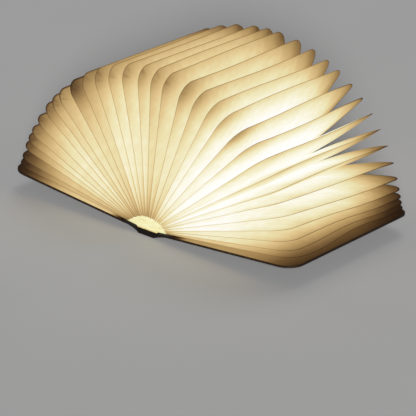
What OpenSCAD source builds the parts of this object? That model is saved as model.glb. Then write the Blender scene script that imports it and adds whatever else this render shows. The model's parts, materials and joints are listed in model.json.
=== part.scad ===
// Folding book lamp: a hard-cover book whose pages are translucent pockets
// that fan out round a light bar in the spine.
// X runs across the open book, Y along the spine and Z up from the table.

/* [Book] */
// Height of the covers, along the spine
cover_h = 215; // [180:1:260]
// Reach of each page from its own hinge line to its fore edge
page_reach = 172; // [140:1:200]
// How far the covers stand out past the pages when the book is shut
cover_lip = 0.5; // [0.2:0.1:4]
// Thickness of a cover board
cover_t = 2; // [1.9:0.1:4]
// Corner radius of the cover boards
cover_corner = 18; // [5:0.5:24]
// Angle of both covers above flat, as the open lamp stands
cover_tilt = 5; // [3:0.5:12]

/* [Pages] */
// Number of pages, each a flat two-layer pocket
page_count = 32; // [24:2:32]
// Thickness of a page with its two layers together
page_t = 0.35; // [0.2:0.05:0.4]
// Corner radius of the pages at the fore edge
page_corner = 18; // [6:0.5:24]
// Corner radius of the pages at the binding
root_corner = 3; // [1:0.5:8]
// How much shorter a page is than the covers, along the spine
page_trim = 2; // [1:0.5:6]
// Distance from a page's hinge line to its bound edge
root_reach = 12; // [11.5:0.5:14]
// Share of a cover's swing that the outermost page takes
fan_edge = 0.95; // [0.93:0.005:0.955]
// How much wider the pages stand apart in the middle of the fan
fan_bunch = 0.26; // [0:0.01:0.27]

/* [Spine] */
// Width of the spine housing
spine_w = 26.2; // [24:0.1:27]
// Height of the spine housing
spine_h = 6.2; // [6:0.1:8]
// Radius of the spine housing's lower edges
spine_round = 4; // [2:0.5:5]
// Side wall of the spine housing
spine_wall = 1.7; // [1.2:0.1:2.2]
// Floor of the spine housing
spine_floor = 1.2; // [0.8:0.1:1.6]
// How far the housing stops short of the covers, at each end
spine_inset = 0.2; // [0.1:0.1:2]

/* [Hinges] */
// Distance from the spine housing's side to a cover's hinge line
hinge_side = 1; // [0.7:0.1:1.5]
// Height of the cover hinge lines above the spine housing
hinge_rise = 0.2; // [0:0.1:0.5]
// Height of the page hinge lines above the cover hinge lines
page_rise = 1.6; // [1:0.1:2.5]
// Distance from a cover's hinge line to the outermost page's, across the spine
page_side = 0.7; // [0.6:0.05:0.9]
// Bare width of the hinge strip between the spine and the board
hinge_w = 13; // [12:0.5:18]
// Width of the hinge strip that is glued into the board
hinge_lap = 8; // [5:0.5:12]
// Thickness of the hinge strip
hinge_t = 0.6; // [0.4:0.1:0.8]
// How far the strip lies below the board's inner face
hinge_sink = 0.15; // [0.1:0.05:0.3]
// Where the padded part of the strip starts, from the hinge line
pad_from = 7.2; // [6.8:0.1:9]

/* [Binding sleeve] */
// Thickness of the sleeve that the pages are bound to
sleeve_t = 0.5; // [0.3:0.1:0.8]
// Thickness of the sleeve's two end walls
gusset_t = 0.6; // [0.4:0.1:1]
// Gap between soft pieces that only lean on each other
soft_gap = 0.3; // [0.2:0.05:0.4]

/* [Light bar] */
// Thickness of the aluminium tray that closes the spine housing
tray_t = 1; // [0.8:0.1:1.5]
// How far the tray stops short of the housing's sides
tray_side = 1.1; // [1:0.1:1.6]
// How far the tray stops short of the housing's ends
tray_inset = 2; // [1.8:0.1:3]
// Outer radius of the half-round diffuser
diffuser_r = 9.6; // [8.5:0.1:9.8]
// Wall of the diffuser
diffuser_t = 0.9; // [0.6:0.1:1.2]
// How far the diffuser stops short of the housing, at each end
diffuser_inset = 8.3; // [8:0.1:12]
// Thickness of the diffuser's end caps
cap_t = 2; // [1.5:0.1:2.2]
// Depth of the plug on each end cap
cap_plug = 3; // [2:0.5:4]
// Width of the LED board
led_board_w = 11; // [9:0.5:12]
// Thickness of the LED board
led_board_t = 1; // [0.8:0.1:1.6]
// Number of LED chips
led_count = 24; // [12:1:30]
// Size of one LED chip across, along and above its board
led_size = [3.5, 2.8, 0.7];
// Radius of a wire with its insulation
wire_r = 0.5; // [0.4:0.05:0.6]

/* [Charging] */
// Width of the battery
battery_w = 20; // [16:0.5:20]
// Length of the battery
battery_l = 100; // [60:1:110]
// Thickness of the battery
battery_t = 4.2; // [3:0.1:4.4]
// Width of the charging board
board_w = 16; // [14:0.5:18]
// Length of the charging board's wide part
board_l = 26; // [22:1:40]
// Free stretch between the charging board and the battery
battery_gap = 44; // [20:1:50]
// Thickness of the charging board
board_t = 1; // [0.8:0.1:1.2]
// Width of the charging board's tongue between the screw bosses
tongue_w = 13; // [12.5:0.1:13]
// Length of the tongue
tongue_l = 5; // [4:0.5:6]
// How far the lamp's wires rise behind the tongue
wire_back = 8; // [6:0.5:10]
// Width of the charging socket
socket_w = 8.9; // [8.8:0.05:9]
// Height of the charging socket
socket_h = 3.2; // [3:0.1:3.2]
// Length of the charging socket
socket_l = 7.4; // [6:0.1:9]
// Radius of the charge light's pipe
pipe_r = 0.7; // [0.5:0.05:0.8]

/* [Screws and magnets] */
// Radius of a screw's shank
screw_r = 1; // [0.8:0.05:1.1]
// Length of a screw's shank
screw_l = 4.5; // [3:0.1:5]
// Radius of a screw's head
screw_head_r = 1.8; // [1.6:0.05:1.9]
// Height of a screw's head
screw_head_h = 1.1; // [0.8:0.1:1.5]
// Radius of a magnet in a cover
magnet_r = 5; // [4:0.1:6]
// Thickness of a magnet
magnet_t = 1.5; // [1:0.1:1.8]
// Distance of each magnet from the cover's two edges
magnet_inset = 18; // [12:0.5:30]
// Thickness of an endpaper
endpaper_t = 0.25; // [0.15:0.05:0.3]
// Bare margin between an endpaper and its board's edges
endpaper_margin = 3; // [1:0.5:6]

/* [Hidden] */
$fn = 64;
fit = 0.05; // clearance round a piece that is pushed into its seat
thread_fit = 0.02; // clearance round a screw's shank
hinge_z = spine_h + hinge_rise;
hinge_x = spine_w / 2 + hinge_side;
page_z = hinge_z + page_rise;
bind_w = 2 * (hinge_x - page_side);
page_h = cover_h - page_trim;
board_reach = page_rise + page_reach + cover_lip; // from hinge line to fore edge
spine_l = cover_h - 2 * spine_inset;
end_wall = spine_wall;
tray_z = spine_h + tray_t; // top of the tray
tray_w = spine_w - 2 * tray_side;
tray_l = spine_l - 2 * tray_inset;
diffuser_l = spine_l - 2 * diffuser_inset;
led_board_l = diffuser_l - 2 * (cap_plug + 0.5);
screw_x = tray_w / 2 - screw_head_r - 0.3;
screw_y = tray_l / 2 - screw_head_r - 0.2;
boss_r = screw_r + 1.2;
board_end = spine_l / 2 - end_wall - 0.2; // far end of the charging board
board_z = spine_floor + board_t; // top of the charging board
wide_end = board_end - tongue_l; // far end of the charging board's wide part
battery_y = wide_end - board_l - battery_gap; // far end of the battery
wire_x = board_w / 2 - 2 * wire_r;
wire_y = wide_end - wire_back;
rim_steps = 64;

page_names = [for (j = [1:page_count]) str("page_", j < 10 ? "0" : "", j)];

// The fan. v runs from 1 at the right cover to -1 at the left cover.
function page_v(j) = 1 - 2 * j / (page_count - 1);
// Share of a cover's swing at v, which is wider in the middle of the fan
function swing_share(v) =
    let (u = v * fan_edge) u * (1 + fan_bunch - fan_bunch * u * u);
function page_angle(v) = 90 - (90 - cover_tilt) * swing_share(v);
function fan_point(v, reach) = [
    bind_w / 2 * v + reach * cos(page_angle(v)),
    page_z + reach * sin(page_angle(v))];

// Height of a cover's inner face at x, as the lamp stands
function cover_face(x) = hinge_z + (x - hinge_x) * tan(cover_tilt);

// A flat plate in XY from x0 to x1 with round corners at both ends
module rounded_plate(x0, x1, width, root_r, fore_r) {
    half = width / 2;
    translate([x0 + root_r, -half]) square([x1 - x0 - root_r - fore_r, width]);
    translate([x0, -half + root_r]) square([root_r + 1, width - 2 * root_r]);
    translate([x1 - fore_r - 1, -half + fore_r]) square([fore_r + 1, width - 2 * fore_r]);
    for (s = [-1, 1]) {
        translate([x0 + root_r, s * (half - root_r)]) circle(root_r);
        translate([x1 - fore_r, s * (half - fore_r)]) circle(fore_r);
    }
}

// Turns a profile drawn in XZ into a bar along Y, centred on the spine
module along_spine(length) {
    rotate([90, 0, 0]) linear_extrude(length, center = true) children();
}

// Places a piece drawn in a cover's own frame, with X from its hinge line to
// its fore edge and Z = 0 on its inner face. side is 1 for right, -1 for left.
module on_cover(side) {
    mirror([side < 0 ? 1 : 0, 0, 0])
        translate([hinge_x, 0, hinge_z]) rotate([0, -cover_tilt, 0]) children();
}

module page(j) {
    v = page_v(j);
    color([0.98, 0.93, 0.78])
        translate([bind_w / 2 * v, 0, page_z]) rotate([0, -page_angle(v), 0])
            linear_extrude(page_t, center = true)
                rounded_plate(root_reach, page_reach, page_h, root_corner, page_corner);
}

// Covers

module magnet_places() {
    for (s = [-1, 1])
        translate([board_reach - magnet_inset, s * (cover_h / 2 - magnet_inset), 0])
            children();
}

module cover_board(side) {
    lap_top = hinge_sink + hinge_t;
    color([0.16, 0.09, 0.05]) on_cover(side) difference() {
        translate([0, 0, -cover_t]) linear_extrude(cover_t)
            rounded_plate(hinge_w, board_reach, cover_h, 1.5, cover_corner);
        // rebate that the hinge strip is glued into
        translate([hinge_w - 1, -cover_h / 2 - 1, -lap_top])
            cube([hinge_lap + 1, cover_h + 2, lap_top + 1]);
        magnet_places() translate([0, 0, -magnet_t - fit])
            cylinder(r = magnet_r + fit, h = cover_t);
    }
}

module magnets(side) {
    color("silver") on_cover(side) magnet_places()
        translate([0, 0, -magnet_t - fit]) cylinder(r = magnet_r, h = magnet_t);
}

module endpaper(side) {
    color([0.3, 0.2, 0.12]) on_cover(side) linear_extrude(endpaper_t)
        rounded_plate(hinge_w + hinge_lap + soft_gap, board_reach - endpaper_margin,
                      cover_h - 2 * endpaper_margin, 1, cover_corner - endpaper_margin / 2);
}

// A strip of bookcloth: bare at the hinge line, padded where it clears the
// spine when the cover is folded right back, and lapped into the board
module hinge_strip(side) {
    top = -hinge_sink;
    low = -hinge_sink - hinge_t;
    pad = -cover_t + 0.1;
    color([0.1, 0.06, 0.04]) on_cover(side)
        along_spine(cover_h - 2) polygon([
            [-0.4, top], [hinge_w + hinge_lap, top], [hinge_w + hinge_lap, low],
            [hinge_w - 0.1, low], [hinge_w - 0.1, pad],
            [pad_from + 1, pad], [pad_from - 1, low], [-0.4, low]]);
}

// Binding sleeve: the D-shaped tube whose rim every page's bound edge follows

function rim_points(reach) = [for (i = [0:rim_steps]) fan_point(1 - 2 * i / rim_steps, reach)];

// Outline of the sleeve, inset from the pages' bound edges
module sleeve_outline(inset) {
    reach = root_reach - soft_gap - inset;
    corner_x = bind_w / 2 + reach;
    corner_z = cover_face(bind_w / 2 + root_reach) + soft_gap + inset;
    foot_z = spine_h + inset;
    polygon(concat(
        [[-spine_w / 2, foot_z], [spine_w / 2, foot_z], [corner_x, corner_z]],
        rim_points(reach), [[-corner_x, corner_z]]));
}

module binding_sleeve() {
    color([0.97, 0.93, 0.7]) along_spine(page_h - 2 * gusset_t) difference() {
        sleeve_outline(0);
        sleeve_outline(sleeve_t);
        translate([-tray_w / 2 - fit, 0])
            square([tray_w + 2 * fit, spine_h + sleeve_t + 0.1]);
    }
}

module gusset(side) {
    color([0.97, 0.95, 0.72])
        translate([0, side * (page_h - gusset_t) / 2, 0]) along_spine(gusset_t)
            sleeve_outline(0);
}

// Spine housing and what it holds

module spine_profile() {
    edge = spine_w / 2 - spine_round;
    intersection() {
        union() {
            translate([-edge, 0]) square([2 * edge, spine_h]);
            translate([-spine_w / 2, spine_round]) square([spine_w, spine_h]);
            for (s = [-1, 1]) translate([s * edge, spine_round]) circle(spine_round);
        }
        translate([-spine_w / 2, 0]) square([spine_w, spine_h]);
    }
}

module screw_places() {
    for (sx = [-1, 1], sy = [-1, 1]) translate([sx * screw_x, sy * screw_y, 0]) children();
}

module spine_housing() {
    inner_w = spine_w - 2 * spine_wall;
    inner_l = spine_l - 2 * end_wall;
    color([0.12, 0.08, 0.06]) difference() {
        union() {
            difference() {
                along_spine(spine_l) spine_profile();
                translate([-inner_w / 2, -inner_l / 2, spine_floor])
                    cube([inner_w, inner_l, spine_h]);
            }
            screw_places() translate([0, 0, spine_floor / 2])
                cylinder(r = boss_r, h = spine_h - spine_floor / 2);
        }
        screw_places() translate([0, 0, tray_z - screw_l - 0.2])
            cylinder(r = screw_r + thread_fit, h = spine_h);
        // mouth of the charging socket and hole of the light pipe
        translate([-socket_w / 2 - fit, inner_l / 2 - 1, board_z])
            cube([socket_w + 2 * fit, end_wall + 2, socket_h + fit]);
        translate([pipe_x(), inner_l / 2 - 1, pipe_z()]) rotate([-90, 0, 0])
            cylinder(r = pipe_r + fit, h = end_wall + 2);
    }
}

function pipe_x() = socket_w / 2 + pipe_r + 0.6;
function pipe_z() = board_z + pipe_r + 0.3;

module led_tray() {
    color("silver") difference() {
        translate([-tray_w / 2, -tray_l / 2, spine_h]) cube([tray_w, tray_l, tray_t]);
        screw_places() translate([0, 0, spine_h - 1])
            cylinder(r = screw_r + fit, h = tray_t + 2);
        wire_places() translate([0, 0, spine_h - 1])
            cylinder(r = wire_r + fit, h = tray_t + 2);
    }
}

module tray_screws() {
    color("gray") screw_places() {
        translate([0, 0, tray_z - screw_l]) cylinder(r = screw_r, h = screw_l);
        difference() {
            translate([0, 0, tray_z]) cylinder(r = screw_head_r, h = screw_head_h);
            for (a = [0, 90]) rotate(a) translate([0, 0, tray_z + screw_head_h])
                cube([1.8, 0.4, 0.9], center = true);
        }
    }
}

module led_board() {
    color("white") translate([-led_board_w / 2, -led_board_l / 2, tray_z])
        cube([led_board_w, led_board_l, led_board_t]);
}

module led_chips() {
    pitch = led_board_l / led_count;
    color([1, 0.93, 0.6]) for (i = [0:led_count - 1])
        translate([-led_size.x / 2, (i + 0.5) * pitch - led_board_l / 2 - led_size.y / 2,
                   tray_z + led_board_t])
            cube(led_size);
}

// The upper half of a disc in XZ that stands on the tray
module half_disc(r) {
    intersection() {
        translate([0, tray_z]) circle(r);
        translate([-r, tray_z]) square([2 * r, r]);
    }
}

module diffuser() {
    color([0.97, 0.96, 0.9, 0.8]) along_spine(diffuser_l) difference() {
        half_disc(diffuser_r);
        translate([0, tray_z]) circle(diffuser_r - diffuser_t);
    }
}

module end_cap(side) {
    plug_r = diffuser_r - diffuser_t - fit;
    color([0.9, 0.9, 0.88]) {
        translate([0, side * (diffuser_l + cap_t) / 2, 0]) along_spine(cap_t)
            half_disc(diffuser_r);
        translate([0, side * (diffuser_l - cap_plug) / 2, 0]) along_spine(cap_plug)
            half_disc(plug_r);
    }
}

module battery() {
    r = 0.9;
    color("steelblue") translate([0, battery_y - battery_l / 2, spine_floor])
        along_spine(battery_l) {
            translate([-battery_w / 2 + r, 0]) square([battery_w - 2 * r, battery_t]);
            translate([-battery_w / 2, r]) square([battery_w, battery_t - 2 * r]);
            for (sx = [-1, 1], z = [r, battery_t - r])
                translate([sx * (battery_w / 2 - r), z]) circle(r);
        }
}

module charge_board() {
    color("darkgreen") {
        translate([-board_w / 2, wide_end - board_l, spine_floor])
            cube([board_w, board_l, board_t]);
        translate([-tongue_w / 2, wide_end - 1, spine_floor])
            cube([tongue_w, tongue_l + 1, board_t]);
        // coil and controller of the charging circuit
        translate([-board_w / 2 + 1, wide_end - board_l / 2 + 1, board_z - 0.1])
            cube([4, 4, 2.1]);
        translate([-1.5, wide_end - board_l / 2 - 4, board_z - 0.1]) cube([4, 4, 1]);
    }
}

module charge_socket() {
    r = socket_h / 2;
    wall = 0.35;
    color("silver") translate([0, spine_l / 2 - socket_l / 2 - 0.2, board_z + r])
        difference() {
            along_spine(socket_l) stadium(socket_w, r);
            translate([0, 1, 0]) along_spine(socket_l) stadium(socket_w - 2 * wall, r - wall);
        }
    // the tongue inside the mouth
    color("black") translate([-socket_w / 2 + 1.6, spine_l / 2 - socket_l + 0.5, board_z + r - 0.35])
        cube([socket_w - 3.2, socket_l - 1.5, 0.7]);
}

// A slot outline of a given width with round ends of radius r
module stadium(width, r) {
    translate([-width / 2 + r, -r]) square([width - 2 * r, 2 * r]);
    for (s = [-1, 1]) translate([s * (width / 2 - r), 0]) circle(r);
}

module charge_light() {
    color([0.9, 0.2, 0.15]) translate([pipe_x(), board_end - 3, pipe_z()])
        rotate([-90, 0, 0]) cylinder(r = pipe_r, h = spine_l / 2 - board_end + 3);
}

module cover_sensor() {
    color("black") translate([3.4, wide_end - board_l + 2, board_z])
        cube([3, 4, 1]);
}

module wire_places() {
    for (y = [0, 3]) translate([wire_x, wire_y - y, 0]) children();
}

module wires() {
    over_board = tray_z + led_board_t + wire_r + fit;
    lead_start = wide_end - board_l + 2;
    color("crimson") {
        wire_places() {
            translate([0, 0, board_z]) cylinder(r = wire_r, h = over_board - board_z);
            translate([0, 0, over_board]) sphere(wire_r);
            translate([0, 0, over_board]) rotate([0, -90, 0])
                cylinder(r = wire_r, h = wire_x - led_board_w / 2 + 1.5);
        }
        for (x = [-3, -1]) translate([x, battery_y, board_z + wire_r + fit])
            rotate([-90, 0, 0]) cylinder(r = wire_r, h = lead_start - battery_y);
    }
}

spine_housing();
led_tray();
led_board();
led_chips();
diffuser();
end_cap(-1);  // end_cap_near
end_cap(1);  // end_cap_far
tray_screws();
battery();
charge_board();
charge_socket();
charge_light();
cover_sensor();
wires();
binding_sleeve();
gusset(-1);  // gusset_near
gusset(1);  // gusset_far
cover_board(-1);  // left_cover_board
hinge_strip(-1);  // left_hinge_strip
endpaper(-1);  // left_endpaper
magnets(-1);  // left_magnets
cover_board(1);  // right_cover_board
hinge_strip(1);  // right_hinge_strip
endpaper(1);  // right_endpaper
magnets(1);  // right_magnets
for (j = [0:page_count - 1]) page(j);
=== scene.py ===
"""Folding book lamp: its looks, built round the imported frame.

X runs across the open book, Y along the spine and Z up. Lengths are in metres. Angles
are in degrees, counted round the fan from the right-hand side over the top.
"""

import json
import math

import bpy
import numpy as np
from mathutils import Matrix, Vector


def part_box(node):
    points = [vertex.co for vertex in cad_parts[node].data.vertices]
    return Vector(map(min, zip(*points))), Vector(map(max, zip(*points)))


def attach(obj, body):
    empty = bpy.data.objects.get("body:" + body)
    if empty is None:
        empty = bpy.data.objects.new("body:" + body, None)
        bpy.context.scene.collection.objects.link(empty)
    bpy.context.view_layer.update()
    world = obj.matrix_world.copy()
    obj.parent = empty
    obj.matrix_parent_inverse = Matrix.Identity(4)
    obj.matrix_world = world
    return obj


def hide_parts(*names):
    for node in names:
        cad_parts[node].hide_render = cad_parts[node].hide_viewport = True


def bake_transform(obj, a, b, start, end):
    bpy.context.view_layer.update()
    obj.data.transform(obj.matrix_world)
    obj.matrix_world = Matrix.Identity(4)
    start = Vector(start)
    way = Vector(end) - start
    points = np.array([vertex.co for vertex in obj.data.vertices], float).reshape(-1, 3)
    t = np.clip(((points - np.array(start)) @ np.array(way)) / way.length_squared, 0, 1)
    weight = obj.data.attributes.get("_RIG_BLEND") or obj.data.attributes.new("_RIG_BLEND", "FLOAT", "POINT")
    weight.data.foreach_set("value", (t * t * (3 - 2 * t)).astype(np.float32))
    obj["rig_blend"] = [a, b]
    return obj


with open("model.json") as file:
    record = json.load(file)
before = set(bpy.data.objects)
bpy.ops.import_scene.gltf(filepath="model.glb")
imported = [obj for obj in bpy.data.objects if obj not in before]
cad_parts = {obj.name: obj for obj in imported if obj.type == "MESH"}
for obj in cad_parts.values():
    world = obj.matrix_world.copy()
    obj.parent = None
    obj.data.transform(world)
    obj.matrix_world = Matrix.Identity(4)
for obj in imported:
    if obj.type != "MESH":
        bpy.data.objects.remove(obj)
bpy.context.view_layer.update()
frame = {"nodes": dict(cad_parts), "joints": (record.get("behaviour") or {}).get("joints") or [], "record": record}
nodes = frame["nodes"]
scene = bpy.context.scene

# The fan, read from the frame ------------------------------------------------

# How far each page leans from its even place in the fan
LEAN = (0, -0.2, -0.5, -0.7, -0.5, -0.2, -1.3, -1.9, -1.8, -1.4, -1.0, -0.2, -1.1, -1.4, -1.2,
        0.3, -1.0, -2.2, -1.6, -1.3, -0.7, -0.6, -0.3, 0.4, -0.3, -0.9, 0.1, 0.6, -0.2, -0.6,
        0.3, 0)
EDGE_GAP = 1.3  # how far the outermost pockets bulge towards the covers
UPRIGHT = 90  # where every page stands when the book is shut
TOUCH = 1e-6  # how near a point is to an edge that it lies on

joints = {j["name"]: j for j in frame["joints"]}
ratios = {c["joint"]: c["ratio"] for c in frame["record"]["behaviour"]["couplings"]}
SWING = joints["left_cover_hinge"]["range_deg"][1]  # from the open lamp to shut
PAGE_NAMES = sorted(n for n in nodes if n.startswith("page_"))
COUNT = len(PAGE_NAMES)


def page_row(name):
    """Where the page's hinge line is, x and z, and the angle of the page."""
    j = joints[name + "_hinge"]
    side = -j["axis"][1]
    return j["pos_m"][0], j["pos_m"][2], UPRIGHT - SWING * side * ratios[name + "_hinge"]


def points_of(node):
    return np.array([v.co for v in nodes[node].data.vertices])


axis_x, axis_z, hinge_angle = np.array([page_row(n) for n in PAGE_NAMES]).T
PAGE_Z = axis_z[0]
gap = np.gradient(hinge_angle)
page_angle = hinge_angle + np.array(LEAN)
# The middles between neighbouring pages, and the outermost pockets' outer sides
mid_angle = np.concatenate((
    [page_angle[0] - EDGE_GAP],
    (page_angle[1:] + page_angle[:-1]) / 2,
    [page_angle[-1] + EDGE_GAP],
))
mid_x = np.concatenate(([axis_x[0]], (axis_x[1:] + axis_x[:-1]) / 2, [axis_x[-1]]))

solid_page = points_of(PAGE_NAMES[0])
reach = np.hypot(solid_page[:, 0] - axis_x[0], solid_page[:, 2] - PAGE_Z)
ROOT, REACH, HALF = reach.min(), reach.max(), solid_page[:, 1].max()
CORNER = REACH - reach[np.abs(solid_page[:, 1]) > HALF - TOUCH].max()


# Materials --------------------------------------------------------------------


class Shader:
    """A node material under construction."""

    def __init__(self, name, **sockets):
        self.material = bpy.data.materials.new(name)
        self.material.use_nodes = True
        self.tree = self.material.node_tree
        self.bsdf = self.tree.nodes["Principled BSDF"]
        for key, value in sockets.items():
            self.bsdf.inputs[key.replace("_", " ")].default_value = value

    def node(self, kind, inputs=(), **settings):
        made = self.tree.nodes.new("ShaderNode" + kind)
        for key, value in settings.items():
            setattr(made, key, value)
        for key, value in dict(inputs).items():
            if isinstance(value, bpy.types.NodeSocket):
                self.tree.links.new(value, made.inputs[key])
            else:
                made.inputs[key].default_value = value
        return made

    def math(self, operation, a, b=0.0, clamp=False):
        made = self.node("Math", {0: a, 1: b}, operation=operation)
        made.use_clamp = clamp
        return made.outputs[0]

    def ramp(self, factor, stops, interpolation="LINEAR"):
        made = self.node("ValToRGB", {"Fac": factor})
        made.color_ramp.interpolation = interpolation
        elements = made.color_ramp.elements
        while len(elements) < len(stops):
            elements.new(0.5)
        for element, (at, colour) in zip(elements, stops):
            element.position = at
            element.color = (*colour, 1)
        return made.outputs["Color"]

    def coords(self, space="Object", scale=(1, 1, 1), turn=(0, 0, 0)):
        if space == "UV":
            source = self.node("UVMap", uv_map="sheet").outputs[0]
        else:
            source = self.node("TexCoord").outputs[space]
        return self.node(
            "Mapping", {"Vector": source, "Scale": scale, "Rotation": turn}
        ).outputs[0]

    def noise(self, vector, scale, detail=3.0, rough=0.55, distort=0.0):
        return self.node("TexNoise", {
            "Vector": vector, "Scale": scale, "Detail": detail,
            "Roughness": rough, "Distortion": distort,
        }).outputs[0]

    def link(self, output, socket):
        self.tree.links.new(output, self.bsdf.inputs[socket])

    def bump(self, height, strength, distance):
        made = self.node("Bump", {
            "Height": height, "Strength": strength, "Distance": distance,
        })
        self.link(made.outputs[0], "Normal")


# Colour of the sheet from unlit to brightest
GLOW_STOPS = (
    (0.00, (0.006, 0.002, 0.001)),
    (0.15, (0.040, 0.017, 0.004)),
    (0.32, (0.145, 0.076, 0.022)),
    (0.47, (0.300, 0.184, 0.063)),
    (0.62, (0.505, 0.343, 0.137)),
    (0.74, (0.700, 0.522, 0.247)),
    (0.82, (0.775, 0.692, 0.390)),
    (0.895, (0.850, 0.813, 0.580)),
    (0.94, (0.900, 0.882, 0.738)),
    (0.99, (0.945, 0.942, 0.920)),
)


def glowing_sheet(name, stops, shaded_base, lit_base, layers=0.0):
    """Spun-bonded sheet: random fibres and soft cloudiness, lit from within. Its glow also carries painted shade
    and painted light, and its base colour darkens with the glow to near black, painted shade on a sheet that is
    white. layers is how strongly the edges of stacked layers show."""
    s = Shader(name, Roughness=0.85, Emission_Strength=1.0, Specular_IOR_Level=0.08)
    flat = s.coords("UV")
    cloud = s.noise(flat, 90, 4, 0.6)
    fibres = s.noise(s.coords("UV", (1, 0.16, 1), (0, 0, 0.5)), 1500, 4, 0.7, 1.2)
    across = s.noise(s.coords("UV", (0.16, 1, 1), (0, 0, 0.9)), 1300, 4, 0.7, 1.2)
    mottle = s.math("ADD", s.math("MULTIPLY", cloud, 0.6),
                    s.math("MULTIPLY", s.math("ADD", fibres, across), 0.2))
    if layers:
        edges = s.noise(s.coords("UV", (0.2, 1, 1), (0, 0, 0.3)), 620, 3, 0.6, 0.8)
        mottle = s.math("ADD", mottle,
                        s.math("MULTIPLY", s.math("SUBTRACT", edges, 0.5), layers))
    # The glow attribute: the lamp's light, with painted shade and painted light worked into it
    glow = s.node("Attribute", attribute_name="glow").outputs["Fac"]
    shade = s.math("MULTIPLY", glow,
                   s.math("ADD", s.math("MULTIPLY", mottle, 0.24), 0.88), clamp=True)
    s.link(s.ramp(shade, stops), "Emission Color")
    # Painted shade: the base colour is near black and darkens further where the glow is low
    s.link(s.ramp(shade, ((0.02, shaded_base), (0.45, lit_base))), "Base Color")
    s.bump(s.math("ADD", fibres, across), 0.25, 0.0002)
    return s.material


page_sheet = glowing_sheet(
    "page_sheet", GLOW_STOPS, (0.004, 0.002, 0.001), (0.045, 0.036, 0.024)
)
sleeve_sheet = glowing_sheet(
    "sleeve_sheet",
    ((0.0, (0.22, 0.13, 0.05)), (0.25, (0.60, 0.44, 0.17)), (0.45, (0.78, 0.70, 0.33)),
     (0.7, (0.84, 0.82, 0.48)), (1.0, (0.93, 0.92, 0.66))),
    (0.04, 0.03, 0.02), (0.06, 0.05, 0.03), layers=8.0,
)


def veneer(name):
    """Dark stained wood veneer whose grain runs along the spine."""
    s = Shader(name, Coat_Weight=0.04, Coat_Roughness=0.6, Specular_IOR_Level=0.18)
    long = s.coords("Object", (1, 0.05, 1))
    grain = s.noise(long, 260, 6, 0.62, 0.6)
    broad = s.noise(s.coords("Object", (1, 0.10, 1)), 34, 4, 0.5, 1.4)
    rings = s.node("TexWave", {
        "Vector": s.coords("Object", (1, 0.06, 1)), "Scale": 42.0,
        "Distortion": 7.0, "Detail": 3.0, "Detail Scale": 1.6,
    }, wave_type="BANDS").outputs["Fac"]
    mix = s.math("ADD", s.math("MULTIPLY", grain, 0.5),
                 s.math("ADD", s.math("MULTIPLY", broad, 0.25),
                        s.math("MULTIPLY", rings, 0.25)))
    s.link(s.ramp(mix, (
        (0.25, (0.006, 0.003, 0.0015)), (0.5, (0.015, 0.007, 0.003)),
        (0.75, (0.030, 0.014, 0.006)))), "Base Color")
    s.link(s.ramp(grain, ((0.3, (0.46,) * 3), (0.8, (0.62,) * 3))), "Roughness")
    pores = s.noise(s.coords("Object", (1, 0.02, 1)), 1400, 3, 0.8)
    s.bump(s.math("ADD", grain, pores), 0.35, 0.0002)
    return s.material


def bookcloth(name):
    """Dark woven cloth: threads both ways, with slubs."""
    s = Shader(name, Roughness=0.85, Sheen_Weight=0.04, Sheen_Roughness=0.4,
               Specular_IOR_Level=0.2)
    at = s.coords("Object")
    warp = s.node("TexWave", {"Vector": at, "Scale": 520.0, "Distortion": 0.7},
                  wave_type="BANDS", bands_direction="X").outputs["Fac"]
    weft = s.node("TexWave", {"Vector": at, "Scale": 520.0, "Distortion": 0.7},
                  wave_type="BANDS", bands_direction="Y").outputs["Fac"]
    slub = s.noise(s.coords("Object", (1, 0.2, 1)), 240, 3, 0.6)
    weave = s.math("MULTIPLY", warp, weft)
    tone = s.math("ADD", s.math("MULTIPLY", weave, 0.6), s.math("MULTIPLY", slub, 0.4))
    s.link(s.ramp(tone, ((0.1, (0.003, 0.0018, 0.001)), (0.9, (0.012, 0.007, 0.004)))),
           "Base Color")
    s.bump(weave, 0.6, 0.0002)
    return s.material


def moulded(name, dark, light, rough=0.5, grain=900, metallic=0.0, **sockets):
    """Moulded or coated surface with fine grain and a little unevenness."""
    s = Shader(name, Metallic=metallic, **sockets)
    at = s.coords("Object")
    fine = s.noise(at, grain, 3, 0.6)
    soft = s.noise(at, grain / 12, 2, 0.5)
    s.link(s.ramp(soft, ((0.3, dark), (0.7, light))), "Base Color")
    s.link(s.ramp(fine, ((0.3, (rough - 0.07,) * 3), (0.7, (rough + 0.07,) * 3))),
           "Roughness")
    s.bump(fine, 0.2, 0.0001)
    return s.material


def brushed(name, dark, light, rough=0.3):
    """Metal with brush marks along the spine."""
    s = Shader(name, Metallic=1.0)
    marks = s.noise(s.coords("Object", (1, 0.02, 1)), 1600, 4, 0.7)
    s.link(s.ramp(marks, ((0.3, dark), (0.7, light))), "Base Color")
    s.link(s.ramp(marks, ((0.3, (rough - 0.06,) * 3), (0.7, (rough + 0.1,) * 3))),
           "Roughness")
    s.bump(marks, 0.2, 0.0001)
    return s.material


def endpaper(name):
    """Laid paper, stained dark like the boards."""
    s = Shader(name, Roughness=0.7)
    fibre = s.noise(s.coords("Object", (1, 0.3, 1)), 900, 4, 0.7, 0.8)
    cloud = s.noise(s.coords("Object"), 60, 3, 0.5)
    tone = s.math("ADD", s.math("MULTIPLY", fibre, 0.5), s.math("MULTIPLY", cloud, 0.5))
    s.link(s.ramp(tone, ((0.2, (0.16, 0.10, 0.06)), (0.8, (0.26, 0.17, 0.10)))),
           "Base Color")
    s.bump(fibre, 0.3, 0.0001)
    return s.material


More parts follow.
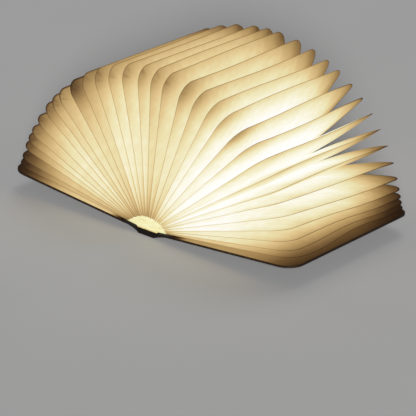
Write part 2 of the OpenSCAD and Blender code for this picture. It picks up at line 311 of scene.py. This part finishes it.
cover_veneer = veneer("cover_veneer")
cover_cloth = bookcloth("bookcloth")
cover_paper = endpaper("endpaper")
black_plastic = moulded("housing_plastic", (0.003, 0.002, 0.0015), (0.006, 0.004, 0.003), 0.6,
                        Specular_IOR_Level=0.15)
tray_metal = brushed("tray_metal", (0.62, 0.62, 0.63), (0.8, 0.8, 0.8))
nickel = brushed("magnet_plating", (0.6, 0.58, 0.55), (0.74, 0.72, 0.69), 0.22)
FINISHES = {
    "spine_housing": black_plastic,
    "led_tray": tray_metal,
    "led_board": moulded("led_board_mask", (0.8, 0.8, 0.77), (0.88, 0.88, 0.86), 0.4),
    "led_chips": moulded("led_resin", (0.9, 0.72, 0.3), (1.0, 0.82, 0.4), 0.25,
                         Emission_Color=(1, 0.88, 0.6, 1), Emission_Strength=3.0),
    "diffuser": moulded("opal_plastic", (0.85, 0.84, 0.78), (0.9, 0.89, 0.84), 0.45,
                        Emission_Color=(1, 0.93, 0.72, 1), Emission_Strength=1.2),
    "end_cap_near": moulded("cap_plastic", (0.78, 0.77, 0.73), (0.84, 0.83, 0.8)),
    "tray_screws": brushed("screw_steel", (0.5, 0.5, 0.52), (0.66, 0.66, 0.68)),
    "battery": moulded("battery_film", (0.12, 0.24, 0.42), (0.17, 0.31, 0.5), 0.3),
    "charge_board": moulded("board_green", (0.03, 0.17, 0.08), (0.05, 0.24, 0.12), 0.35),
    "charge_socket": brushed("socket_shell", (0.55, 0.55, 0.57), (0.7, 0.7, 0.72), 0.25),
    "charge_light": moulded("light_pipe", (0.7, 0.1, 0.07), (0.85, 0.16, 0.12), 0.15,
                            Transmission_Weight=0.4),
    "cover_sensor": moulded("sensor_black", (0.02, 0.02, 0.02), (0.035, 0.035, 0.035), 0.3),
    "wires": moulded("wire_red", (0.5, 0.04, 0.03), (0.62, 0.06, 0.05), 0.4),
}
FINISHES["end_cap_far"] = FINISHES["end_cap_near"]
for side in ("left", "right"):
    FINISHES[side + "_cover_board"] = cover_veneer
    FINISHES[side + "_hinge_strip"] = cover_cloth
    FINISHES[side + "_endpaper"] = cover_paper
    FINISHES[side + "_magnets"] = nickel
for name, material in FINISHES.items():
    data = nodes[name].data
    data.materials.clear()
    data.materials.append(material)

# Width of the rounding along the sharp edges of the large dark pieces
EASED = {"left_cover_board": 0.0006, "right_cover_board": 0.0006, "spine_housing": 0.0004}
SHARP = 40  # an edge that turns by more than this is eased
for name, width in EASED.items():
    bevel = nodes[name].modifiers.new("eased_edges", "BEVEL")
    bevel.width, bevel.segments, bevel.limit_method = width, 3, "ANGLE"
    bevel.angle_limit = math.radians(SHARP)


# Curves ------------------------------------------------------------------------


def ramp(x, start, end):
    """0 before start and 1 past end, with a straight slope between them."""
    return np.clip((x - start) / (end - start), 0, 1)


def step(x, start, end):
    """0 before start and 1 past end, with a smooth step between them."""
    x = ramp(x, start, end)
    return x * x * (3 - 2 * x)


def fade(x, length):
    """1 at 0, falling by a factor of e over each length."""
    return np.exp(-x / length)


def bell(x, width):
    """1 at 0, falling to both sides."""
    return np.exp(-(x / width) ** 2)


def level_off(x, power=4.0):
    """x while it is small, levelling off at 1."""
    return x / (1 + x**power) ** (1 / power)


# A page laid flat ----------------------------------------------------------------

SHEET = 0.00015  # from a page's middle to its outside, where its layers meet
FLANGE = 0.0009  # width of the welded seam along a page's edge
RING_INSETS = (0, 0.02, 0.05, 0.09, 0.15, 0.23, 0.34, 0.48, 0.64, 0.82, 1)  # of CORNER
REACH_POINTS, REACH_GROWTH = 29, 1.15  # points out from the hub, closer at the hub
FORE_POINTS = 34  # points along the fore edge
TURN_POINTS = 25  # points round a corner


def sheet_grid():
    """Points (reach, y), faces and free rim of a page laid flat, with rings along its
    free edges that follow the rounded corners, and a plain grid inside them."""
    inner_reach, inner_half = REACH - CORNER, HALF - CORNER
    reaches = ROOT + (inner_reach - ROOT) * np.linspace(0, 1, REACH_POINTS) ** REACH_GROWTH
    ys = np.linspace(-inner_half, inner_half, FORE_POINTS)
    turns = np.radians(np.linspace(-90, 0, TURN_POINTS))[1:-1]

    def ring(inset):
        radius = CORNER - inset
        near = [(t, -HALF + inset) for t in reaches]
        arc = [(inner_reach + radius * math.cos(a), -inner_half + radius * math.sin(a))
               for a in turns]
        fore = [(REACH - inset, y) for y in ys]
        return near + arc + fore + [(t, -y) for t, y in (near + arc)[::-1]]

    points, faces, index = [], [], {}

    def vertex(p):
        """The point's number, the same for points within a micrometre."""
        key = (round(p[0] * 1e6), round(p[1] * 1e6))
        if key not in index:
            index[key] = len(points)
            points.append(p)
        return index[key]

    def face(*corners):
        ids = []
        for p in corners:
            i = vertex(p)
            if i not in ids:
                ids.append(i)
        if len(ids) > 2:
            faces.append(ids)

    rings = [ring(CORNER * x) for x in RING_INSETS]
    for outer, inner in zip(rings, rings[1:]):
        for i in range(len(outer) - 1):
            face(outer[i], outer[i + 1], inner[i + 1], inner[i])
    for t0, t1 in zip(reaches, reaches[1:]):
        for y0, y1 in zip(ys, ys[1:]):
            face((t0, y0), (t1, y0), (t1, y1), (t0, y1))
    rim = [vertex(p) for p in rings[0]]
    return np.array(points), faces, rim


grid, grid_faces, grid_rim = sheet_grid()
grid_t, grid_y = grid.T
from_corner_t = grid_t - (REACH - CORNER)
from_corner_y = np.abs(grid_y) - (HALF - CORNER)
in_corner = (from_corner_t > 0) & (from_corner_y > 0)
corner_turn = np.arctan2(from_corner_y, from_corner_t)  # round the corner's centre
grid_inset = np.where(
    in_corner,
    CORNER - np.hypot(from_corner_t, from_corner_y),
    np.minimum(REACH - grid_t, HALF - np.abs(grid_y)),
)
# Patches for painted shade at both corners, and for painted light and shade at the near corner and at the far end:
# how much a point belongs to each
SPOT = CORNER * 0.3  # from a corner's edges to the middle of its patch
corner_shade_spot = bell(np.hypot(REACH - grid_t - SPOT, HALF - np.abs(grid_y) - SPOT), 0.013)
near_corner_paint_spot = bell(np.hypot(REACH - grid_t - SPOT, HALF + grid_y - SPOT), 0.020)
far_end_paint_spot = ramp(grid_y, 0.03, 0.09) * ramp(grid_t, 0.08, 0.14)


def puckers(k, sign):
    """Two short creases where the seam of page k's layer turns a corner."""
    seed = 2 * k + sign
    creases = 0.0
    for i in range(2):
        turn = math.pi / 4 + 0.34 * math.sin(seed * 2.4 + i * 2.3)
        inset = 0.004 + 0.0025 * math.sin(seed * 1.7 + i * 4.1)
        height = 0.65 + 0.35 * math.sin(seed * 3.1 + i * 1.9)
        creases = creases + height * bell(corner_turn - turn, 0.12) * bell(
            grid_inset - inset, 0.005)
    return np.where(in_corner, creases, 0)


# Brightness ----------------------------------------------------------------------

# Brightness of the sheet along each measure of the fan, in mm and degrees. The light
# bar shines upward, so the pages nearest the covers, the far ends and the tips get less.
ALONG = ((12, 25, 50, 80), (0.73, 0.87, 0.95, 1.0))
ACROSS = ((-106, -90, -75, -45, 20, 45, 65, 85, 106),
          (0.76, 0.88, 0.94, 1.0, 1.0, 0.96, 0.89, 0.71, 0.42))
ROUND = ((5, 9, 13, 20, 30, 45, 60, 75, 90, 110, 130, 150, 165, 175),
         (0.54, 0.72, 0.81, 0.90, 0.95, 1.01, 1.01, 0.93, 0.91, 0.99, 0.89, 0.97, 0.94, 0.72))
LOW_END = ((20, 50, 80, 106), (1.0, 0.80, 0.52, 0.38))  # along the spine, near the right cover
LOW_WIDTH = 30  # how far round the fan that goes
OUTER = (0.040, 0.170)  # the reaches from which the place along the spine counts, and fully
# The reach where the sheet is half as bright, round the fan, and how sharply it falls there
TIPS = ((5, 15, 60, 90, 118, 128, 142, 160, 175), (158, 190, 198, 196, 178, 168, 180, 164, 137))
TIP_POWER = 9.5
UPPER_PAINTED_LIGHT, UPPER_LENGTH = 0.3, 0.25  # painted light, for light falling on it from above: a page's upper edge is brighter, over a share of its reach
# How much darker the seams are: everywhere, where the welded seam lets less light through, and by painted shade
# more on the left, near the hub and at the rim
SEAM_ALL, SEAM_LEFT, SEAM_HUB, SEAM_RIM = 0.23, 0.04, 0.10, 0.42
HUB_LENGTH = 0.06
RIM_FORE, RIM_FAR = 0.02, 0.03  # width of the painted rim shade along the fore edge and the far end
RIM_MIDDLE, RIM_RIGHT = 0.75, 0.5  # how much weaker it is in mid-fan and on the right
SEAM_WIDER, SEAM_WIDEST = 1.2, 1.3  # how much wider the seams are at the rim, and at its ends


def brightness(t, y, inset, angle, upper=0.0):
    """How bright the sheet glows at a reach, a place along the spine, a distance from the page's edge and an
    angle, with painted shade at the seams and the rim. upper is 1 on the side that faces up near a cover, which
    gets painted light."""
    outer = ramp(t, *OUTER)
    tips = 1 / (1 + (t * 1000 / np.interp(angle, *TIPS)) ** TIP_POWER)
    # Painted light on the upward side, strongest at its edge
    edge = 1 + UPPER_PAINTED_LIGHT * upper * fade(inset, UPPER_LENGTH * t)
    right, far = step(angle, 60, 45), step(y, 0.04, 0.09)
    ends = right * far + step(angle, 118, 133)  # where the painted rim shade is darker and wider
    rim = np.maximum(ramp(t, REACH - RIM_FORE, REACH), ramp(y, HALF - RIM_FAR, HALF))
    rim = rim * (1 - RIM_MIDDLE * (1 - right) * (1 - ends) - RIM_RIGHT * right * (1 - far))
    # Painted shade deepens the seams on the left, near the hub and along the rim
    depth = (SEAM_ALL + SEAM_LEFT * step(angle, 110, 140) + SEAM_HUB * fade(t, HUB_LENGTH)
             + SEAM_RIM * rim)
    width = FLANGE * (1 + (SEAM_WIDER + SEAM_WIDEST * ends) * rim)
    seam = 1 - depth * step(inset, width, 0)
    across = (np.interp(y * 1000, *ACROSS)
              * np.interp(y * 1000, *LOW_END) ** bell(angle, LOW_WIDTH)) ** outer
    return (edge * seam * tips * across
            * np.interp(t * 1000, *ALONG) * np.interp(angle, *ROUND))


# Painted light and shade: how much brighter the near corner and the far end of a page are, round the fan
NEAR_CORNER_PAINTED_LIGHT = ((5, 10, 20, 42, 50, 90, 105, 118, 160, 168, 175),
             (-0.05, 0.08, 0.19, 0.15, -0.08, -0.04, 0.06, 0.10, 0.05, 0.26, 0.0))
FAR_END_PAINTED_LIGHT = ((7, 14, 18, 28, 36, 42, 60, 110),
            (-0.13, 0.28, 0.26, -0.16, -0.10, 0.08, 0.0, -0.05))
NEAR_CORNER_EXTRA_SHADE = {10: 0.12, 14: 0.14, 22: 0.34, 25: 0.30}  # pages whose near corner gets more painted shade
# Painted shade in the creases where a seam turns a corner
PUCKER_SHADE = 0.12
# Painted shade at both corners of each page, varying from page to page
CORNER_SHADE, CORNER_VARIES = 0.16, 0.12
FOLD_SHADE, FOLD_LENGTH = 0.40, 0.045  # painted shade in the fold between pages, deepest at the hub
FOLD_INSET = 2.8  # where it starts, in half gaps from the page's edge
TONE, TONE_LENGTH = 0.07, 0.08  # how far pages differ at the hub
UPPER_WIDTH = 40  # how far from the right cover a page's upper side takes the painted light


def pocket_glow(k, sign, angle, spread):
    """How bright a layer of page k glows at each point, with painted shade at its corners, creases and folds, and
    painted light and shade at its near corner and far end.
    """
    faces_up = (sign > 0) == (k < COUNT / 2)
    glow = brightness(grid_t, grid_y, grid_inset, angle, faces_up * bell(angle, UPPER_WIDTH))
    corners = (CORNER_SHADE + CORNER_VARIES * math.sin(k * 2.9 + 1.0)) * corner_shade_spot
    fold = step(grid_inset, 0, FOLD_INSET * grid_t * spread) * fade(grid_t, FOLD_LENGTH)
    shade = PUCKER_SHADE * puckers(k, sign) + corners + FOLD_SHADE * fold
    # The painted shade of creases, corners and folds is faded out low on the right, where the sheet is bright
    glow = glow * (1 - step(angle, 55, 105) * shade)
    near_painted_light = np.interp(angle, *NEAR_CORNER_PAINTED_LIGHT) - NEAR_CORNER_EXTRA_SHADE.get(k, 0)
    far_painted_light = np.interp(angle, *FAR_END_PAINTED_LIGHT)
    glow = glow * (1 + near_painted_light * near_corner_paint_spot + far_painted_light * far_end_paint_spot)
    return glow * (1 + TONE * math.sin(k * 2.3) * fade(grid_t, TONE_LENGTH))


# Pages -----------------------------------------------------------------------------

OPENING = 0.125  # how fast a pocket's layers part, inward from the seam
SWELL, SWELL_LENGTH = 0.5, 0.006  # how much faster they part beside the seam
PUCKER_DEPTH = {-1: 0.0002, 1: 0.0006}  # on a page's right and on its left layer
FILL = 0.97  # how far a swollen layer goes towards the middle between two pages
# Over this reach the two layers nearest a cover part slowly, to clear its hinge strip
# when the covers fold right back
STRIP_CLEAR = (0.040, 0.025)
WAVE, COVER_WAVE = 0.06, 0.9  # slack of all pages, and of those by a cover, as waves
WAVE_RATE, COVER_WAVE_RATE = 26, 44  # radians to a metre of the spine
COVER_PAGES = 1.8  # how many pages count as by a cover
# How far the far corners of the lowest right-hand pages hang, round the fan
DROOP = ((5, 7.2, 10.3, 13.9, 17.2, 21.8, 26.8, 30.7, 35.5),
         (0, 0.8, 2.2, 3.6, 4.8, 5.9, 5, 1.7, 0))


def droop(angle, t, y):
    """How far a point hangs, degrees."""
    corner_share = (y + HALF) / (2 * HALF) * (t - ROOT) / (REACH - ROOT)
    return np.interp(angle, *DROOP) * np.clip(corner_share, 0, 1)


def pocket_side(k, sign):
    """Points, angles and brightness of one layer of page k: sign -1 faces the right
    cover, 1 the left cover."""
    mid = k if sign < 0 else k + 1
    spread = math.radians(abs(mid_angle[mid] - page_angle[k]))
    opening = OPENING * np.maximum(grid_inset - FLANGE, 0)
    opening = opening * (1 + SWELL * fade(grid_inset, SWELL_LENGTH))
    opening = opening - PUCKER_DEPTH[sign] * puckers(k, sign)
    share = FILL * level_off(np.maximum(opening, 0) / (grid_t * spread))
    from_cover = min(mid, COUNT - mid)
    if from_cover < len(STRIP_CLEAR):
        share = share * step(grid_t, ROOT, ROOT + STRIP_CLEAR[from_cover])
    angle = page_angle[k] + (mid_angle[mid] - page_angle[k]) * share
    x = axis_x[k] + (mid_x[mid] - axis_x[k]) * share
    by_cover = math.exp(-min(k, COUNT - 1 - k) / COVER_PAGES)
    sway = (WAVE * abs(gap[k]) * np.sin(grid_y * WAVE_RATE + k * 1.3)
            + COVER_WAVE * by_cover * np.sin(grid_y * COVER_WAVE_RATE + k * 0.6 + 1))
    angle = angle + sway * (grid_t / REACH) ** 2 * (1 - share)
    angle = angle - droop(angle, grid_t, grid_y)
    a = np.radians(angle)
    place = np.stack([
        x + grid_t * np.cos(a) - sign * SHEET * np.sin(a),
        grid_y,
        PAGE_Z + grid_t * np.sin(a) + sign * SHEET * np.cos(a),
    ], 1)
    return place, angle, pocket_glow(k, sign, angle, spread)


FACETS = 8  # of the binding sleeve, to a page
TUCK = 0.7  # how far the sleeve's outermost strips keep clear of the covers
WALL_CLEAR = 0.0002  # from the ends of the hinge strips out to the end walls' leaves
SLEEVE_DROP = 0.0011  # from a page's bound edge in to the sleeve between two pages
RIDGE, RIDGE_VARIES, RIDGE_POWER = 0.0019, 0.0006, 1.5  # the sleeve's ridge along each page
# Brightness at the hinge lines and at the sleeve: beside the covers, and what the top adds
AXIS_GLOW, SLEEVE_GLOW = (0.60, 0.05), (0.55, 0.15)


def hub_strip(k):
    """The page's strip of the binding sleeve, between its leaves of the two end walls:
    rows of points, with their angles, brightness and flat places, and the faces."""
    fan = np.linspace(mid_angle[k] + TUCK * (k == 0),
                      mid_angle[k + 1] - TUCK * (k == COUNT - 1), FACETS + 1)
    centre_x = np.linspace(mid_x[k], mid_x[k + 1], FACETS + 1)
    ridge = 1 - np.abs(fan - page_angle[k]) / abs(mid_angle[k + 1] - mid_angle[k]) * 2
    ridge = np.clip(ridge, 0, 1) ** RIDGE_POWER
    radius = ROOT - SLEEVE_DROP + (RIDGE + RIDGE_VARIES * math.sin(k * 2.1)) * ridge
    a = np.radians(fan)
    high = math.sin(math.radians(page_angle[k]))
    ones = np.ones(FACETS + 1)
    rows = []
    for y in (-HALF - WALL_CLEAR, HALF + WALL_CLEAR):
        inner = np.stack([centre_x, y * ones, PAGE_Z * ones], 1)
        outer = np.stack(
            [centre_x + radius * np.cos(a), y * ones, PAGE_Z + radius * np.sin(a)], 1)
        for row, (low, added) in ((inner, AXIS_GLOW), (outer, SLEEVE_GLOW)):
            rows.append((row, fan, (low + added * high) * ones, row[:, ::2]))
    near_in, near_out, far_in, far_out = (np.arange(FACETS + 1) + i * (FACETS + 1)
                                          for i in range(4))
    faces = []
    for i in range(FACETS):
        faces.append([near_in[i], near_out[i], near_out[i + 1], near_in[i + 1]])
        faces.append([far_in[i + 1], far_out[i + 1], far_out[i], far_in[i]])
        faces.append([near_out[i], far_out[i], far_out[i + 1], near_out[i + 1]])
    return rows, faces


def make_piece(name, points, faces, *materials, smooth=False):
    """A mesh object, put into the scene."""
    mesh = bpy.data.meshes.new(name)
    mesh.from_pydata(points, [], faces)
    for material in materials:
        mesh.materials.append(material)
    mesh.polygons.foreach_set("use_smooth", [smooth] * len(faces))
    piece = bpy.data.objects.new(name, mesh)
    scene.collection.objects.link(piece)
    return piece


def lay_sheet(mesh, glow, places):
    """Give each point its brightness and its place on the flat sheet."""
    attribute = mesh.attributes.new("glow", "FLOAT", "POINT")
    attribute.data.foreach_set("value", np.array(glow, np.float32))
    corners = np.zeros(len(mesh.loops), np.int32)
    mesh.loops.foreach_get("vertex_index", corners)
    layer = mesh.uv_layers.new(name="sheet")
    layer.data.foreach_set("uv", np.array(places, np.float32)[corners].ravel())


def page_piece(k):
    """Page k as a pocket, with its strip of the hub."""
    n = len(grid)
    rows = [pocket_side(k, sign) + (grid,) for sign in (-1, 1)]
    faces = grid_faces + [[i + n for i in f[::-1]] for f in grid_faces]
    for a, b in zip(grid_rim, grid_rim[1:]):
        faces.append([b, a, a + n, b + n])
    hub_rows, hub_faces = hub_strip(k)
    place, angle, glow, flat = (np.concatenate(c) for c in zip(*rows, *hub_rows))
    piece = make_piece(
        PAGE_NAMES[k] + "_pocket", place.tolist(),
        faces + [[int(i) + 2 * n for i in f] for f in hub_faces],
        page_sheet, sleeve_sheet, smooth=True,
    )
    mesh = piece.data
    slots = [0] * len(faces) + [1] * len(hub_faces)
    mesh.polygons.foreach_set("material_index", slots)
    lay_sheet(mesh, glow, flat)
    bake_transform(piece, "spine", PAGE_NAMES[k],
             (axis_x[k], 0, PAGE_Z), (axis_x[k], 0, PAGE_Z + REACH))
    # Each point takes the share of the turn that brings it upright when the book shuts
    weight = (UPRIGHT - angle) / (UPRIGHT - hinge_angle[k])
    mesh.attributes["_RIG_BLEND"].data.foreach_set("value", weight.astype(np.float32))
    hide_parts(PAGE_NAMES[k])


for k in range(COUNT):
    page_piece(k)


# The outermost layer of sheet, glued inside each cover ---------------------------

LINING_START = 0.018  # from the hinge line, past the groove
LINING_EDGE = 0.0006  # bare edge of the board round the lining
LINING_LIFT = 0.00025  # the endpaper's thickness
LINING_CLEAR = 0.00005  # from the board up to the lining's edge
LINING_GLOW = 0.9  # against a page in the same place
# Over these lengths it rises at its edges, rises out of the groove and lights up there
LINING_EDGE_RISE, LINING_RISE, LINING_FADE = 0.006, 0.03, 0.02
LINING_ROWS, LINING_TURN_ROWS, LINING_POINTS = 40, 12, 61


def lining_piece(side, sign):
    name = side + "_cover"
    pivot = Vector(joints[name + "_hinge"]["pos_m"])
    tilt = math.radians(UPRIGHT - SWING)
    cover_angle = 5.0 if sign > 0 else 175.0
    board = points_of(name + "_board")
    along = (sign * board[:, 0] - abs(pivot.x)) * math.cos(tilt) + (
        board[:, 2] - pivot.z) * math.sin(tilt)
    edge, half = along.max() - LINING_EDGE, board[:, 1].max() - LINING_EDGE
    corner = along.max() - along[np.abs(board[:, 1]) > board[:, 1].max() - TOUCH].max()
    turns = np.linspace(0, math.pi / 2, LINING_TURN_ROWS)[1:]
    ts = np.concatenate((np.linspace(LINING_START, edge - corner, LINING_ROWS),
                         edge - corner + corner * np.sin(turns)))
    shares = np.sin(np.linspace(-math.pi / 2, math.pi / 2, LINING_POINTS))
    t, share = (a.ravel() for a in np.meshgrid(ts, shares, indexing="ij"))

    past = t - (edge - corner)
    wide = half - corner * (1 - np.sqrt(1 - np.clip(past / corner, 0, 1) ** 2))
    y = share * wide
    beside = np.abs(y) - (half - corner)
    inset = np.where((past > 0) & (beside > 0), corner - np.hypot(past, beside),
                     np.minimum(edge - t, half - np.abs(y)))
    h = LINING_CLEAR + LINING_LIFT * step(inset, 0, LINING_EDGE_RISE) * step(
        t, LINING_START, LINING_START + LINING_RISE)
    points = np.stack([
        sign * (abs(pivot.x) + t * math.cos(tilt) - h * math.sin(tilt)),
        y,
        pivot.z + t * math.sin(tilt) + h * math.cos(tilt),
    ], 1)
    # The lining faces up, so it takes the painted light of an upward side in full
    glow = LINING_GLOW * brightness(t, y, inset, cover_angle, 1.0) * step(
        t, LINING_START, LINING_START + LINING_FADE)

    n = len(shares)
    faces = []
    for i in range(len(ts) - 1):
        for j in range(n - 1):
            a = i * n + j
            quad = [a, a + 1, a + n + 1, a + n]
            faces.append(quad[::-1] if sign > 0 else quad)
    piece = make_piece(side + "_lining", points.tolist(), faces, page_sheet, smooth=True)
    lay_sheet(piece.data, glow, points[:, :2])
    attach(piece, name)
    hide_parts(side + "_endpaper")


lining_piece("left", -1)
lining_piece("right", 1)

# The bookcloth glued down in the groove between the spine and each board ------------

GROOVE = (  # x and z of the cloth's under side, then of its upper side, in mm
    (10.4, 0.20, 10.5, 0.26), (12.0, 0.80, 11.95, 1.15), (13.2, 1.30, 13.15, 4.0),
    (14.5, 1.85, 14.3, 5.35), (17.0, 2.80, 16.5, 5.40), (20.0, 3.75, 20.0, 5.40),
    (24.0, 4.65, 24.0, 5.15), (27.2, 5.22, 27.2, 5.42), (31.0, 5.62, 31.0, 5.78),
)
GROOVE_POINTS, GROOVE_ROWS = 41, 61  # across the groove and along the spine


def groove_piece(side, sign):
    table = np.array(GROOVE) / 1000
    fine = np.linspace(0, len(table) - 1, GROOVE_POINTS)
    under_x, under_z, upper_x, upper_z = (
        np.interp(fine, range(len(table)), column) for column in table.T)
    ring = [*zip(sign * under_x, under_z), *zip(sign * upper_x[::-1], upper_z[::-1])]
    ys = np.linspace(-HALF, HALF, GROOVE_ROWS)
    points = [(x, y, z) for y in ys for x, z in ring]
    n = len(ring)
    faces = []
    for i in range(GROOVE_ROWS - 1):
        for j in range(n):
            k = (j + 1) % n
            quad = [i * n + j, i * n + k, (i + 1) * n + k, (i + 1) * n + j]
            faces.append(quad if sign > 0 else quad[::-1])
    for i, turned in ((0, sign > 0), (GROOVE_ROWS - 1, sign < 0)):
        for j in range(GROOVE_POINTS - 1):
            quad = [i * n + j, i * n + j + 1, i * n + n - 2 - j, i * n + n - 1 - j]
            faces.append(quad[::-1] if turned else quad)
    piece = make_piece(side + "_groove_cloth", points, faces, cover_cloth)
    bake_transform(piece, "spine", side + "_cover", (sign * 0.0135, 0, 0.004), (sign * 0.0195, 0, 0.004))


groove_piece("left", -1)
groove_piece("right", 1)


# The fixed foot of the binding sleeve and of its end walls -------------------------

WALL = 0.0006  # thickness of an end wall
FOOT_INSET = 0.0004  # from the housing's sides
FOOT_TOP_GLOW, FOOT_LOW_GLOW = 0.6, 0.16


def foot_piece(name, node, y0, y1, closed):
    """The part below the pages' hinge lines. closed adds its two end faces."""
    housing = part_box("spine_housing")[1]
    low, high = housing.z, PAGE_Z
    wide = housing.x - FOOT_INSET
    outline = [(-axis_x[0], high), (-wide, low), (wide, low), (axis_x[0], high)]
    points = np.array([(x, y, z) for y in (y0, y1) for x, z in outline])
    faces = [[0, 1, 2, 3], [7, 6, 5, 4]] if closed else []
    faces += [[0, 4, 5, 1], [1, 5, 6, 2], [2, 6, 7, 3]]
    piece = make_piece(name, points.tolist(), faces, sleeve_sheet)
    glow = [FOOT_TOP_GLOW, FOOT_LOW_GLOW, FOOT_LOW_GLOW, FOOT_TOP_GLOW] * 2
    lay_sheet(piece.data, glow, points[:, ::2])
    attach(piece, "spine")
    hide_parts(node)


foot_piece("gusset_foot_near", "gusset_near", -HALF, -HALF + WALL, True)
foot_piece("gusset_foot_far", "gusset_far", HALF - WALL, HALF, True)
foot_piece("sleeve_foot", "binding_sleeve", -HALF + WALL, HALF - WALL, False)


# Floor, light and camera -----------------------------------------------------------

FLOOR = 6  # half the width of the floor
floor_paint = Shader("floor_paint", Roughness=0.9, Specular_IOR_Level=0.1)
cloud = floor_paint.noise(floor_paint.coords("Object"), 3, 2)
floor_paint.link(
    floor_paint.ramp(cloud, ((0.3, (0.44, 0.44, 0.44)), (0.7, (0.455, 0.455, 0.455)))),
    "Base Color",
)
floor = make_piece(
    "floor",
    [(-FLOOR, -FLOOR, 0), (FLOOR, -FLOOR, 0), (FLOOR, FLOOR, 0), (-FLOOR, FLOOR, 0)],
    [[0, 1, 2, 3]],
    floor_paint.material,
)

scene.world = bpy.data.worlds.new("studio")
scene.world.use_nodes = True
backdrop = scene.world.node_tree.nodes["Background"].inputs
backdrop["Color"].default_value = (1, 1, 1, 1)
backdrop["Strength"].default_value = 0.10


def soft_sun(name, place, angle, strength):
    """An even light from the side where place is, as wide as a diffuser in a studio."""
    light = bpy.data.lights.new(name, "SUN")
    light.angle, light.energy = math.radians(angle), strength
    lamp = bpy.data.objects.new(name, light)
    scene.collection.objects.link(lamp)
    lamp.rotation_euler = Vector(place).to_track_quat("Z", "Y").to_euler()


soft_sun("key", (6.6, -9.1, 4.1), 12, 4.6)
soft_sun("fill", (-1.6, 3.2, 4.6), 30, 0.55)

# The photo's camera, fitted to the pages' ridges and tips
EYE = Vector((1.6885, -2.32, 1.1917))
AZIMUTH, ELEVATION, ROLL = (math.radians(x) for x in (-36.06, 22.56, 3.78))
FOCAL_PX, FRAME_PX = 2904.4, 416  # in the photo's pixels
SENSOR_MM = 36
ahead = Vector((math.sin(AZIMUTH) * math.cos(ELEVATION),
                math.cos(AZIMUTH) * math.cos(ELEVATION), -math.sin(ELEVATION)))
right = ahead.cross(Vector((0, 0, 1))).normalized()
up = right.cross(ahead)
right, up = (math.cos(ROLL) * right + math.sin(ROLL) * up,
             -math.sin(ROLL) * right + math.cos(ROLL) * up)
camera = bpy.data.objects.new("camera", bpy.data.cameras.new("camera"))
scene.collection.objects.link(camera)
turn = Matrix((right, up, -ahead)).transposed().to_4x4()
camera.matrix_world = Matrix.Translation(EYE) @ turn
camera.data.sensor_width = SENSOR_MM
camera.data.lens = SENSOR_MM * FOCAL_PX / FRAME_PX
camera.data.clip_end = 50
scene.camera = camera
scene.view_settings.view_transform = "Standard"

# The sheets glow without being sampled as lamps, which would only add noise
for material in bpy.data.materials:
    material.cycles.emission_sampling = "NONE"
